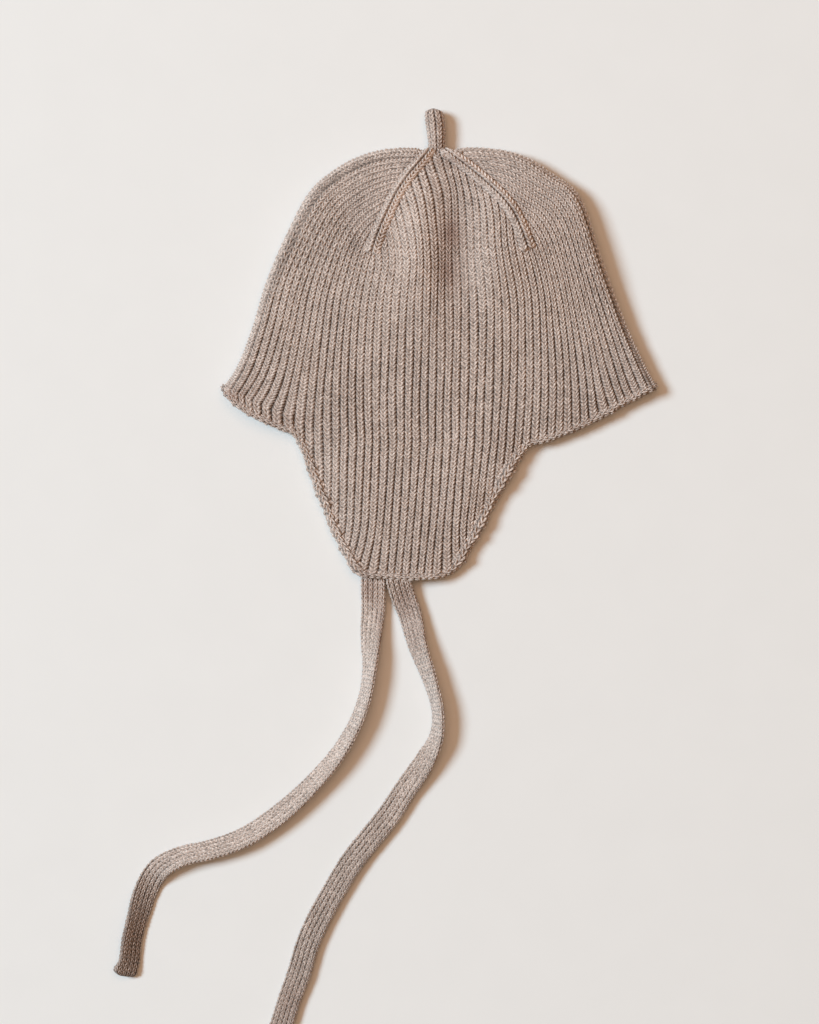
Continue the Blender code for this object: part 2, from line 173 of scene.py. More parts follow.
# How the ribs fan out at the corners of the flap and of the brim: ribs there, and spread
Fan = namedtuple("Fan", "left right half_width spread")
FLAP_FAN = Fan(0.305, 0.575, 0.045, 0.034)
BRIM_FAN = Fan(0.09, 0.90, 0.05, 0.014)

# Share of the flap's length at which its fan begins, and level at which the brim's fan ends
FLAP_FAN_START = 0.55
BRIM_FAN_END = 0.35

# Legs of a stitch rise this many rows from the middle of the wale to the furrow beside it
SLANT = 1.1

# Relief of one kind of knitting: depth of the furrow between wales, and roundness of legs and rows
Relief = namedtuple("Relief", "furrow leg row")
RIB = Relief(0.0013, 0.00055, 0.00050)
TIE_KNIT = Relief(0.00075, 0.00042, 0.00045)
STEM_KNIT = Relief(0.0009, 0.00045, 0.0004)
RIM_KNIT = Relief(0.0004, 0.0007, 0.0011)
RIDGE_KNIT = Relief(0.0013, 0.0007, 0.0007)

# Rise of the shown knitting over the part, uneven rise of the upper layer, and its sag along the flap
CREST = 0.0004
SLACK = 0.00045
FLAP_SAG = 0.0022

# Waves that add up to one slow unevenness, and what brings their mean to between about -1 and 1
DRIFT_WAVES = 5
DRIFT_GAIN = 1.4

# The upper layer droops towards the slanted sides of its flap: lines along them, depth and width
DROOPING_EDGES = [
    np.array([(0.098, -0.029), (0.044, -0.055), (0.011, -0.116)]),
    np.array([(-0.070, -0.050), (-0.052, -0.096)]),
]
EDGE_DROOP = 0.0030
DROOP_WIDTH = 0.010

# A furrow beside the fold, closer to it on the right: how far in it lies, its width, its depth, and the
# painted shade that darkens it
RIGHT_FURROW_INSET = 0.0024
LEFT_FURROW_INSET = 0.0050
FOLD_FURROW_WIDTH = 0.0006
FOLD_FURROW_DEPTH = 0.0007
FOLD_FURROW_PAINTED_SHADE = 0.6

# Furrows between the ribs: depth at the rim, what is lost by the crown, and what comes back at its top
RIM_FURROW = 1.1
FURROW_LOSS = 0.4
TOP_FURROW_GAIN = 0.3

# Patches of the body where the furrows are deeper or fainter: middle, reach both ways, and change
Patch = namedtuple("Patch", "wale level wales levels change")
DEEP_MIDDLE = Patch(26, 0.35, 9, 0.35, 0.14)
FAINT_HUMPS = [Patch(19, 1.0, 3.5, 0.4, 0.72), Patch(30, 0.9, 3.0, 0.3, 0.45)]

# Depth of the crown's faint furrows on each shoulder, and of the deeper ones beside the fold
LEFT_SHOULDER_FURROW = 0.5
RIGHT_SHOULDER_FURROW = 0.4
LEFT_FOLD_FURROW = 1.05
RIGHT_FOLD_FURROW = 0.8
RIGHT_FOLD_GAIN = 0.45

# The rim chain, thicker along the slanted sides of the flaps: ribs there, and how thick from 0 to 1.
# Its loops are uneven in size, more so where it is thick, and shifted a little in and out.
RIM_RADIUS = 0.0018
SELVEDGE_RADIUS = 0.0028
SELVEDGE_RIBS = (0.15, 0.19, 0.30, 0.33, 0.54, 0.57, 0.67, 0.71)
SELVEDGE_SHARES = (0, 1, 1, 0, 0, 1, 1, 0)
RIM_UNEVENNESS = 0.15
SELVEDGE_UNEVENNESS = 0.12
RIM_SHIFT = 0.0005

# Crown ridges: size of their strands, wider and lower at the free foot and narrower at the top
RIDGE_STRAND = 0.0041
RIDGE_LIFT = 0.0021
RIDGE_BASE = 0.0003
RIDGE_SPLAY = 0.25
RIDGE_NARROWING = 0.15
RIDGE_FOOT_ROWS = 1.5
RIDGE_FOOT_SINK = 0.0008

# Grooves along both sides of a ridge: how far from it, width, depth, and the painted shade that darkens them
GROOVE_DISTANCE = 0.0036
GROOVE_WIDTH = 0.0007
GROOVE_DEPTH = 0.0004
GROOVE_PAINTED_SHADE = 0.12

# How uneven the legs of stitches are in tone, how much lighter a ridge is painted as a whole, and the painted
# light that lightens its shaded right strand and darkens its lit left one
LEG_TONE = 0.13
RIDGE_TONE = 0.17
RIDGE_SIDE_PAINTED_LIGHT = 0.25

# Ties: how far they settle into the ground, and their ends, rounded off, with a knob at the free one
TIE_SETTLING = 0.0003
TIE_END_ROWS = 1.2
TIE_END_WIDTH = 0.35
TIE_UNEVENNESS = 0.045
KNOB_ROW = 1.6
KNOB_REACH = 1.4
KNOB_WIDENING = 0.12
KNOB_RISE = 0.0008
KNOB_SHIFT = 0.0012

# Girth of the stem as a share of its diameter, from its foot at 0 to its end at 1, and its hidden rows
STEM_GIRTHS = ((0.0, 0.2, 0.45, 0.68, 0.84, 0.94, 1.0), (0.84, 0.86, 0.95, 1.0, 0.97, 0.8, 0.1))
STEM_ROOT_ROWS = 2

# Low ribs of the inner face: their height, and painted light and shade across them
INNER_RIB = 0.0003
INNER_OPENNESS = 0.55
INNER_RIB_PAINTED_SHADE = 0.27

# Fineness of the grids: faces across one wale and along one row
Fine = namedtuple("Fine", "across along")
SHOWN = Fine(8, 4)
HIDDEN = Fine(4, 3)
TIE_FINE = Fine(6, 4)

# Places where the wool is painted lighter or darker, and redder, than elsewhere: metres and shares.
# These are painted light and shade: lighter on the humps of the crown, darker in its dent, on its left
# shoulder, beside the feet of the ridges, by the gathered band and at the lower flap tie's free end, and
# redder as painted warm shade in the dent and the furrows at the ties' roots. The low brim on both sides
# and the flap's end are a little darker, and the brim's left corner and the upper flap tie's end redder.
PaintedShade = namedtuple("PaintedShade", "x y half_width half_height light red")
PAINTED_SHADES = [
    PaintedShade(-0.016, 0.060, 0.010, 0.020, 0.16, 0.0), PaintedShade(0.005, 0.048, 0.006, 0.022, -0.20, 0.25),
    PaintedShade(0.006, 0.054, 0.003, 0.005, -0.05, 0.5), PaintedShade(0.004, 0.034, 0.003, 0.005, -0.05, 0.4),
    PaintedShade(-0.055, 0.058, 0.020, 0.018, -0.12, 0.0), PaintedShade(0.030, 0.040, 0.008, 0.020, 0.05, 0.0),
    PaintedShade(-0.042, 0.047, 0.002, 0.003, -0.45, 0.0), PaintedShade(-0.028, 0.050, 0.002, 0.006, -0.4, 0.0),
    PaintedShade(0.038, 0.063, 0.002, 0.004, -0.4, 0.0), PaintedShade(0.043, 0.051, 0.003, 0.002, -0.4, 0.0),
    PaintedShade(-0.036, -0.123, 0.003, 0.005, -0.1, 0.35), PaintedShade(-0.030, -0.140, 0.002, 0.012, -0.1, 0.25),
    PaintedShade(-0.017, -0.130, 0.004, 0.006, -0.1, 0.35), PaintedShade(-0.012, -0.148, 0.003, 0.010, 0.0, 0.25),
    PaintedShade(-0.103, -0.027, 0.006, 0.003, 0.0, 0.35), PaintedShade(-0.075, -0.038, 0.014, 0.003, 0.0, 0.2),
    PaintedShade(0.004, 0.090, 0.010, 0.002, -0.1, 0.2), PaintedShade(-0.015, -0.030, 0.080, 0.016, -0.06, 0.0),
    PaintedShade(-0.018, -0.108, 0.030, 0.012, -0.10, 0.0), PaintedShade(0.075, -0.030, 0.022, 0.014, -0.08, 0.0),
    PaintedShade(-0.151, -0.300, 0.006, 0.012, -0.1, 0.3), PaintedShade(-0.076, -0.330, 0.008, 0.008, 0.0, 0.3),
]

# Light and dark painted along the ties: shares of the length, and tones there. Both ties are painted lighter
# near the flap. The lower flap's tie is painted dark at its free end, painted shade where it turns away from
# the light; the upper flap's tie is a little darker towards its free end.
LOWER_FLAP_TIE_TONES = ((0.0, 0.2, 0.75, 0.86, 1.0), (0.35, 0.12, 0.05, -0.4, -0.55))
UPPER_FLAP_TIE_TONES = ((0.0, 0.2, 0.45, 0.6, 1.0), (0.15, 0.05, 0.0, -0.18, -0.22))

# The top of the crown: a short band of gathered loops beside the foot of the stem, with sunk ends
GATHER_BAND = [(0.00075, 0.0914), (0.00325, 0.0934), (0.00625, 0.0941), (0.00925, 0.0940), (0.0118, 0.0928)]
GATHER_SINK = 0.0015

# Colours of the wool as a screen shows them, 0 to 255: painted shade in the furrows, the usual colour in
# between, and painted light on the crests
Wool = namedtuple("Wool", "name deep usual light")
BODY_WOOL = Wool("body_wool_finish", (70, 61, 56), (185, 164, 151), (249, 230, 218))
TIE_WOOL = Wool("tie_wool_finish", (88, 76, 68), (188, 167, 154), (249, 230, 218))
STEM_WOOL = Wool("stem_wool_finish", (74, 56, 46), (180, 157, 144), (240, 220, 207))
# A redder colour that the painted spots mix in: painted warm shade in the crown's dent, in the furrows at the
# ties' roots and at the lower flap tie's end, and a redder tint at the brim's left corner and the upper flap
# tie's end
WARM_SHADE_AND_REDDER_WOOL = (158, 122, 106)

# Fineness and strength of the wool's specks and patches, its fuzz, and its twist along wales and rows
MELANGE_SCALE = 1300.0
MELANGE_STRENGTH = 3.4
PATCH_SCALE = 60.0
PATCH_STRENGTH = 0.4
FUZZ_SCALE = 2600.0
TWIST = (37.0, 19.0)

# The floor: half its side, how far it lies under the wool, and the two close colours of its grain
FLOOR_HALF = 6.0
FLOOR_DROP = 0.0002
FLOOR_COLOURS = ((232, 230, 227), (235, 233, 230))

# The photograph's frame, seen from straight above, and the height at which its scale holds
PICTURE_HEIGHT = 1024
METRES_PER_PIXEL = 0.0005
PICTURE_MIDDLE = (-0.0150, -0.0849)
SCALE_HEIGHT = 0.010
CAMERA_HEIGHT = 2.0
SENSOR = 36.0


def smooth_weights(knots, place):
    """Weight of each knot at each place, for a smooth curve through the knots."""
    knots = np.asarray(knots, float)
    place = np.asarray(place, float)
    values = np.eye(len(knots))
    slopes = np.gradient(values, knots, axis=0)
    k = np.clip(np.searchsorted(knots, place, side="right") - 1, 0, len(knots) - 2)
    span = (knots[k + 1] - knots[k])[..., None]
    t = np.clip((place - knots[k])[..., None] / span, 0.0, 1.0)
    start = (1 + 2 * t) * (1 - t) ** 2 * values[k] + t * (1 - t) ** 2 * span * slopes[k]
    end = t ** 2 * (3 - 2 * t) * values[k + 1] - t ** 2 * (1 - t) * span * slopes[k + 1]
    return start + end


def planform(rib, level):
    """Places seen from above of shares of the ribs at levels of the knitting."""
    across = smooth_weights(COLUMNS, rib)
    up = smooth_weights(LEVELS, np.maximum(level, 0.0))
    point = np.einsum("nc,nl,cla->na", across, up, POINTS)
    drop = np.maximum(-level, 0.0)[:, None] / FLAP_LEVELS
    end = np.stack([(FLAP_END_MIDDLE + (rib - 0.5) * FLAP_END_SPREAD) * BRIM_WIDTH,
                    np.full(len(rib), FLAP_END)], axis=1)
    return point * (1 - drop) + end * drop - (0.0, MIDDLE_Y)


def edge_level(rib):
    """Levels at which ribs end at the lower edge, its corners a little rounded."""
    ribs = [row.rib for row in FLAP_EDGE]
    drops = [row.drop for row in FLAP_EDGE]
    return -FLAP_LEVELS * sum(np.interp(rib + step, ribs, drops) for step in (-0.012, 0.0, 0.012)) / 3


def fold_line():
    """The outline along which the two layers turn into each other."""
    levels = np.linspace(0.0, LEVELS[-1], 61)
    left = planform(np.zeros_like(levels), levels)
    right = planform(np.ones_like(levels), levels[::-1])
    return np.concatenate([left, right])


FOLD_LINE = fold_line()


def distance_to(line, places):
    """Distances seen from above from places to a line."""
    start = line[:-1]
    run = line[1:] - start
    square = np.maximum((run * run).sum(1), 1e-18)
    found = []
    for some in np.array_split(places, max(1, len(places) // 8000)):
        away = some[:, None] - start
        along = np.clip((away * run).sum(2) / square, 0.0, 1.0)
        found.append(np.linalg.norm(away - run * along[..., None], axis=2).min(1))
    return np.concatenate(found)


def top_height(places):
    """Heights of the upper layer's outer face, away from the fold."""
    height = np.full(len(places), 2 * FOLD_RADIUS)
    for swell in SWELLS:
        x = (places[:, 0] - swell.across * BRIM_WIDTH) / (swell.half_width * BRIM_WIDTH)
        y = (places[:, 1] + MIDDLE_Y - swell.up * CROWN_HEIGHT) / (swell.half_height * CROWN_HEIGHT)
        height += swell.rise * np.exp(-(x * x + y * y) / 2)
    brim_line = SECTIONS[0].middle[1] * CROWN_HEIGHT - MIDDLE_Y
    down = np.clip((brim_line + 0.015 - places[:, 1]) / FLAP_LENGTH, 0.0, 1.0)
    height += SLACK * drift(places[:, 0] * 150, places[:, 1] * 110, 5) - FLAP_SAG * down
    for edge in DROOPING_EDGES:
        height -= EDGE_DROOP * np.exp(-(distance_to(edge, places) / DROOP_WIDTH) ** 2)
    return height


def fold_furrow(place, from_fold):
    """How deep places lie in the furrow beside the fold, from 0 to 1: low on the right, high on the left."""
    x, y = place.T
    on_right = np.clip(x / 0.02, 0.0, 1.0) * np.clip((0.080 - y) / 0.02, 0.0, 1.0)
    on_left = np.clip((-0.010 - x) / 0.02, 0.0, 1.0) * np.clip((y - 0.010) / 0.03, 0.0, 1.0)
    right = on_right * np.exp(-((from_fold - RIGHT_FURROW_INSET) / FOLD_FURROW_WIDTH) ** 2)
    return right + on_left * np.exp(-((from_fold - LEFT_FURROW_INSET) / FOLD_FURROW_WIDTH) ** 2)


def raised(place, upper):
    """Points of the outer face of the upper or the lower layer over some places."""
    from_fold = distance_to(FOLD_LINE, place)
    away = np.minimum(from_fold / FOLD_RADIUS, 1.0)
    rounding = np.sqrt(np.maximum(1 - (1 - away) ** 2, 0.0))
    above = FOLD_RADIUS + (top_height(place) - FOLD_RADIUS) * rounding
    above = above - FOLD_FURROW_DEPTH * fold_furrow(place, from_fold)
    return np.column_stack([place, np.where(upper, above, FOLD_RADIUS * (1 - rounding))])


def outer_face(turn, level):
    """Points of the outer face: turn runs from 0 to 1 over the upper layer and to 2 below it."""
    turn = turn % 2.0
    return raised(planform(np.minimum(turn, 2.0 - turn), level), turn <= 1.0)


def body_face(turn, level):
    """Points of the body's outer face and the way that it faces there, for grids of turns and levels."""
    step = 0.003
    flat_turn, flat_level = turn.ravel(), level.ravel()
    point = outer_face(flat_turn, flat_level)
    across = outer_face(flat_turn + step, flat_level) - outer_face(flat_turn - step, flat_level)
    up = outer_face(flat_turn, flat_level + step) - outer_face(flat_turn, flat_level - step)
    facing = unit(np.cross(across, up))
    return point.reshape(*turn.shape, 3), facing.reshape(*turn.shape, 3)


def drift(a, b, seed):
    """Slow uneven waves between about -1 and 1 over two coordinates, the same ones each time."""
    random = np.random.default_rng(seed)
    total = np.zeros(np.shape(a))
    for _ in range(DRIFT_WAVES):
        turn_a, turn_b = random.normal(0.0, 1.0, 2)
        total += np.sin(turn_a * a + turn_b * b + random.uniform(0, 2 * math.pi))
    return total / DRIFT_WAVES * DRIFT_GAIN


def by_stitch(wale, row, seed):
    """One random number from -1 to 1 for each stitch."""
    table = np.random.default_rng(seed).uniform(-1, 1, (97, 89))
    return table[np.floor(wale).astype(int) % 97, np.floor(row).astype(int) % 89]


def stitch_grid(wales, rows, fine):
    """Grids of wale and row over some knitting, with the slanted row on which each point lies."""
    across = np.arange(round(wales[0] * fine.across), round(wales[1] * fine.across) + 1) / fine.across
    along = np.arange(round(rows[0] * fine.along), round(rows[1] * fine.along) + 1) / fine.along
    wale, row = np.meshgrid(across, along, indexing="ij")
    return wale, row, row + SLANT * np.abs(2 * (wale % 1.0) - 1)


def yarn(wale, row, relief, furrow_share, seed):
    """Height of the yarn over the face, and its openness from 0 in a furrow to 1 on a crest, which the wool's
    material paints as shade in the furrows and light on the crests.
    """
    side = np.abs(2 * (wale % 1.0) - 1)
    leg = np.abs(np.sin(2 * math.pi * wale)) ** 0.8
    loop = (0.5 - 0.5 * np.cos(2 * math.pi * row)) ** 0.7
    swell = 1 + 0.25 * by_stitch(wale - 1e-6, row, seed)
    pit = furrow_share * (1 + 0.4 * by_stitch(wale + 0.5, row, seed + 2)) * (1.15 - 0.4 * loop)
    furrow = relief.furrow * pit * side ** 6
    height = relief.leg * leg * (0.4 + 0.6 * loop) * swell + relief.row * loop - furrow
    furrow_shade = 1 - 0.95 * np.clip(pit, 0.0, 1.1) / 1.1 * side ** 3
    open_share = furrow_shade * (0.4 + 0.6 * loop) * (0.62 + 0.38 * leg)
    return height - relief.leg - relief.row, np.clip(open_share, 0.0, 1.0)


def painted_shades(points):
    """How much lighter and redder the wool is painted at some points of the upper layer: painted light and
    shade, some of it warm.
    """
    total = np.zeros((2, *points.shape[:-1]))
    for shade in PAINTED_SHADES:
        x = (points[..., 0] - shade.x) / shade.half_width
        y = (points[..., 1] - shade.y) / shade.half_height
        share = np.exp(-(x * x + y * y) / 2) * (points[..., 2] > WALL)
        total += np.multiply.outer((shade.light, shade.red), share)
    return total


def beside_ridges(places):
    """How deep places lie in the grooves along both sides of the crown's ridges, from 0 to 1."""
    depth = np.zeros(len(places))
    for ridge in (LEFT_RIDGE, RIGHT_RIDGE):
        line = planform(np.full(40, ridge), np.linspace(1.0, 1.97, 40))
        depth += np.exp(-((distance_to(line, places) - GROOVE_DISTANCE) / GROOVE_WIDTH) ** 2)
    return np.minimum(depth, 1.0)


def join_grid(columns, rows, closed):
    """Faces of a grid of points, closed into a tube or not."""
    around = columns if closed else columns - 1
    i, j = np.meshgrid(np.arange(around), np.arange(rows - 1), indexing="ij")
    following = (i + 1) % columns
    corners = [i * rows + j, following * rows + j, following * rows + j + 1, i * rows + j + 1]
    return np.stack(corners, axis=-1).reshape(-1, 4)


def add_mesh(name, points, faces, material, marks):
    """A named smooth mesh. Marks are numbers at its points that its material reads."""
    data = bpy.data.meshes.new(name)
    data.from_pydata(points.reshape(-1, 3).tolist(), [], faces.tolist())
    for mark, values in marks.items():
        stored = data.attributes.new(mark, "FLOAT", "POINT")
        stored.data.foreach_set("value", values.ravel().astype(np.float32))
    work = bmesh.new()
    work.from_mesh(data)
    bmesh.ops.remove_doubles(work, verts=work.verts, dist=2e-6)
    bmesh.ops.delete(work, geom=[v for v in work.verts if not v.link_faces], context="VERTS")
    work.to_mesh(data)
    work.free()
    data.shade_smooth()
    data.materials.append(material)
    piece = bpy.data.objects.new(name, data)
    bpy.context.scene.collection.objects.link(piece)
    return piece


def knit(name, wales, rows, fine, face, relief, material, furrow_share=1.0, lift=CREST, closed=False,
         kept=None, seed=1, tone=0.0):
    """A piece of knitting. face gives points and facings for grids of wale and slanted row, kept says
    which of them to keep, and furrow_share and tone are numbers or functions of wale and row. tone is
    painted lighter and darker colour, such as painted light and shade on the ridges and painted shade at a
    tie's end."""
    wale, row, slanted = stitch_grid(wales, rows, fine)
    if closed:
        wale, row, slanted = wale[:-1], row[:-1], slanted[:-1]
    points, facing = face(wale, slanted)
    share = furrow_share(wale, slanted) if callable(furrow_share) else furrow_share
    height, open_share = yarn(wale, row, relief, share, seed)
    points = points + facing * (height + lift)[..., None]
    points[..., 2] = np.maximum(points[..., 2], 0.0)
    faces = join_grid(*wale.shape, closed)
    if kept is not None:
        faces = faces[kept(wale, row, slanted).ravel()[faces].all(axis=1)]
    # Painted light and shade from the painted spots: lighter, darker and redder
    light, red = painted_shades(points)
    places = points[..., :2].reshape(-1, 2)
    # Painted shade in the furrow beside the fold and in the grooves beside the ridges, on the upper layer
    beside_fold = fold_furrow(places, distance_to(FOLD_LINE, places))
    painted_furrow_shade = FOLD_FURROW_PAINTED_SHADE * beside_fold + GROOVE_PAINTED_SHADE * beside_ridges(places)
    light -= painted_furrow_shade.reshape(light.shape) * (points[..., 2] > FOLD_RADIUS)
    light += tone(wale, row) if callable(tone) else tone
    light += LEG_TONE * by_stitch(2 * wale - 1e-6, row, seed + 1)
    # tone carries painted light and shade and the legs' random tone; red carries painted warm shade and tint;
    # open_share becomes painted shade in the furrows and painted light on the crests
    marks = {"open_share": open_share, "wale_at": wale, "row_at": row, "tone": light, "red": red}
    return add_mesh(name, points, faces, material, marks)


def row_to_level(wale, row):
    """Level of the knitting at a row. A row takes up more of a level in the crown than in the brim."""
    shoulder = (wale < LEFT_WALES) | (wale > WALES - RIGHT_WALES)
    crown_rows = np.where(shoulder, SHOULDER_ROWS, MIDDLE_CROWN_ROWS)
    return np.where(row < BRIM_ROWS, row / BRIM_ROWS, 1.0 + (row - BRIM_ROWS) / crown_rows)


def panel_width(start, end, levels):
    """Width of a crown panel at some levels, as a share of its width at the ridge feet. It starts
    to shrink gently, so that the wales bend and don't break off."""
    known = np.linspace(BEND_START, 2.0, 47)
    far_side = planform(np.full_like(known, end), known)
    near_side = planform(np.full_like(known, start), known)
    width = np.linalg.norm(far_side - near_side, axis=1)
    share = width / np.interp(1.0, known, width)
    slope = (1 - np.interp(BEND_END, known, share)) / (BEND_END - 1.0)
    bend = 1 - slope * (known - BEND_START) ** 2 / (2 * (BEND_END - BEND_START))
    share = np.where(known < BEND_END, bend, share)
    return np.maximum(np.interp(levels, known, share), 1e-3)


def crown_rib(wale, level):
    """Share of the ribs at which a wale lies. In the crown the wales end at the ridges."""
    left_share = wale / LEFT_WALES
    right_share = (WALES - wale) / RIGHT_WALES
    middle_share = (wale - LEFT_WALES - MIDDLE_WALES / 2) / MIDDLE_WALES
    left_width = panel_width(0.0, LEFT_RIDGE, level)
    middle_width = panel_width(LEFT_RIDGE, RIGHT_RIDGE, level)
    right_width = panel_width(RIGHT_RIDGE, 1.0, level)
    left = LEFT_RIDGE * np.minimum(left_share / left_width, 1.0)
    right = 1.0 - (1.0 - RIGHT_RIDGE) * np.minimum(right_share / right_width, 1.0)
    stretch = np.where(middle_share < 0, LEFT_STRETCH, RIGHT_STRETCH)
    stretch = 1 + stretch * np.clip(level - STRETCH_START, 0.0, 1.0)
    middle_share = np.clip(0.5 + middle_share * stretch / middle_width, 0.0, 1.0)
    middle = LEFT_RIDGE + (RIGHT_RIDGE - LEFT_RIDGE) * middle_share
    return np.where(wale <= LEFT_WALES, left, np.where(wale >= WALES - RIGHT_WALES, right, middle))


def even_rib(wale, level):
    """Share of the ribs at which a wale lies in the brim: even at the rim, and by panels at the top."""
    known = (0, LEFT_WALES, WALES - RIGHT_WALES, WALES)
    by_panels = np.interp(wale, known, (0.0, LEFT_RIDGE, RIGHT_RIDGE, 1.0))
    up = np.clip(level, 0.0, 1.0)
    return wale / WALES * (1 - up) + by_panels * up


def wandering(wale, row):
    """A wale moved a little to one side and back, as knitted wales wander."""
    ridges = np.minimum(np.abs(wale - LEFT_WALES), np.abs(wale - WALES + RIGHT_WALES))
    inside = np.clip(np.minimum(np.minimum(wale, WALES - wale), ridges) / 3, 0.0, 1.0)
    return wale + inside * WANDER * drift(wale * 0.9, row * 0.12, 11)


def fanned(fan, rib, share):
    """How far ribs move outwards at the two corners of a fan, where it is open by a share."""
    left = np.exp(-((rib - fan.left) / fan.half_width) ** 2)
    right = np.exp(-((rib - fan.right) / fan.half_width) ** 2)
    return fan.spread * share * (right - left)


def rib_at(wale, row):
    """Share of the ribs at a wale and row of the body. At the corners of the flap and brim they fan out."""
    level = row_to_level(wale, row)
    wale = wandering(wale, row)
    bent = np.clip((level - BEND_START) / (1.0 - BEND_START), 0.0, 1.0)
    rib = even_rib(wale, level) * (1 - bent) + crown_rib(wale, level) * bent
    down_flap = -level / FLAP_LEVELS
    near_flap_end = np.clip((down_flap - FLAP_FAN_START) / (1 - FLAP_FAN_START), 0.0, 1.0) ** 2
    near_rim = np.clip(1 - level / BRIM_FAN_END, 0.0, 1.0) ** 2
    return rib + fanned(FLAP_FAN, rib, near_flap_end) + fanned(BRIM_FAN, rib, near_rim)


def layer(upper):
    """The turn of a share of the ribs on the upper or the lower layer."""
    return (lambda rib: rib) if upper else (lambda rib: 2.0 - rib)


def cloth_face(upper):
    """Place of one layer's knitting, cut off at the lower edge and closed at the top."""
    turn_of = layer(upper)

    def face(wale, row):
        rib = rib_at(wale, row)
        level = np.clip(row_to_level(wale, row), edge_level(rib), LEVELS[-1])
        points, facing = body_face(turn_of(rib), level)
        if upper and level.max() > 1.0:
            groove = beside_ridges(points[..., :2].reshape(-1, 2)).reshape(rib.shape)
            points = points - facing * (GROOVE_DEPTH * groove)[..., None]
        return points, facing
    return face


def on_brim(wale, row, slanted):
    """Whether the knitting is brim: above the lower edge, and above the flap where that begins."""
    above_edge = row_to_level(wale, slanted + 1) > edge_level(rib_at(wale, slanted))
    beside_flap = (wale < FLAP_WALES[0]) | (wale > FLAP_WALES[1])
    return above_edge & ((row >= 0) | beside_flap)


def on_flap(wale, row, slanted):
    """Whether the knitting of the flap is above its lower edge."""
    return row_to_level(wale, slanted + 1) > edge_level(rib_at(wale, slanted))


def on_crown(wale, row, slanted):
    """Whether the crown's knitting hasn't ended under a ridge."""
    rib = rib_at(wale, slanted - ROWS_UNDER_RIDGE)
    return (np.abs(rib - LEFT_RIDGE) > 1e-9) & (np.abs(rib - RIGHT_RIDGE) > 1e-9)


def patch_share(patch, wale, level):
    """The change that a patch makes at wales and levels, most of it in its middle."""
    across = (wale - patch.wale) / patch.wales
    up = (level - patch.level) / patch.levels
    return patch.change * np.exp(-across ** 2 - up ** 2)


def furrow_depth(wale, row):
    """Furrows are deep at the rim, shallower up the crown, and faint on its shoulders."""
    level = row_to_level(wale, row)
    depth = RIM_FURROW - FURROW_LOSS * np.clip(level, 0.0, 1.0) + patch_share(DEEP_MIDDLE, wale, level)
    from_ridge = np.maximum(np.maximum(LEFT_WALES - wale, wale - WALES + RIGHT_WALES), 0.0)
    on_shoulder = np.clip(from_ridge, 0.0, 1.0) * np.clip((level - 0.95) / 0.2, 0.0, 1.0)
    near_left_fold = (np.abs(wale - 1) < 0.5) | (np.abs(wale - 2) < 0.5)
    near_right_fold = np.abs(WALES - wale - 1) < 0.5
    left_faint = np.where(near_left_fold, LEFT_FOLD_FURROW, LEFT_SHOULDER_FURROW)
    right_faint = np.where(near_right_fold, RIGHT_FOLD_FURROW, RIGHT_SHOULDER_FURROW)
    faint = np.where(wale < LEFT_WALES, left_faint, right_faint)
    depth = depth * (1 - on_shoulder) + faint * on_shoulder
    depth = depth * (1 - sum(patch_share(hump, wale, level) for hump in FAINT_HUMPS))
    depth = depth + TOP_FURROW_GAIN * np.clip(level - 1.4, 0.0, 0.5)
    depth = depth + RIGHT_FOLD_GAIN * near_right_fold * np.clip(1 - level / 1.2, 0.0, 1.0)
    from_fold = np.clip(np.minimum(wale, WALES - wale) / 0.6, 0.0, 1.0)
    return depth * from_fold * (1 + 0.3 * drift(wale * 0.8, row * 0.15, 21))


def layer_pieces(upper, finish):
    """All knitting of one layer: flap, brim and the three panels of its crown."""
    name = "upper" if upper else "lower"
    fine = SHOWN if upper else HIDDEN
    lift = CREST if upper else 0.0
    right_start = WALES - RIGHT_WALES
    flap_rows = math.ceil(FLAP_LEVELS * BRIM_ROWS) + 2
    shoulder_end = BRIM_ROWS + SHOULDER_ROWS
    zones = [("flap", FLAP_WALES, (-flap_rows, 0), on_flap),
             ("brim", (0, WALES), (-4, BRIM_ROWS), on_brim),
             ("left_gore", (0, LEFT_WALES), (BRIM_ROWS, shoulder_end), on_crown),
             ("middle_gore", (LEFT_WALES, right_start), (BRIM_ROWS, BRIM_ROWS + MIDDLE_CROWN_ROWS), on_crown),
             ("right_gore", (right_start, WALES), (BRIM_ROWS, shoulder_end), on_crown)]
    return [knit(f"{name}_{zone}_knit", wales, rows, fine, cloth_face(upper), RIB, finish, furrow_depth, lift,
                 kept=kept, seed=31) for zone, wales, rows, kept in zones]


def even_line(row_length, *tracks):
    """Tracks of points or numbers along a line, taken anew at even lengths of the first track."""
    steps = np.linalg.norm(np.diff(tracks[0], axis=0), axis=1)
    length = np.concatenate(([0.0], np.cumsum(steps)))
    even = np.linspace(0.0, length[-1], round(length[-1] / row_length) + 1)
    return [np.stack([np.interp(even, length, column) for column in track.reshape(len(track), -1).T], axis=1)
            for track in tracks]


def unit(vectors):
    """Vectors made one long."""
    return vectors / np.maximum(np.linalg.norm(vectors, axis=-1, keepdims=True), 1e-12)


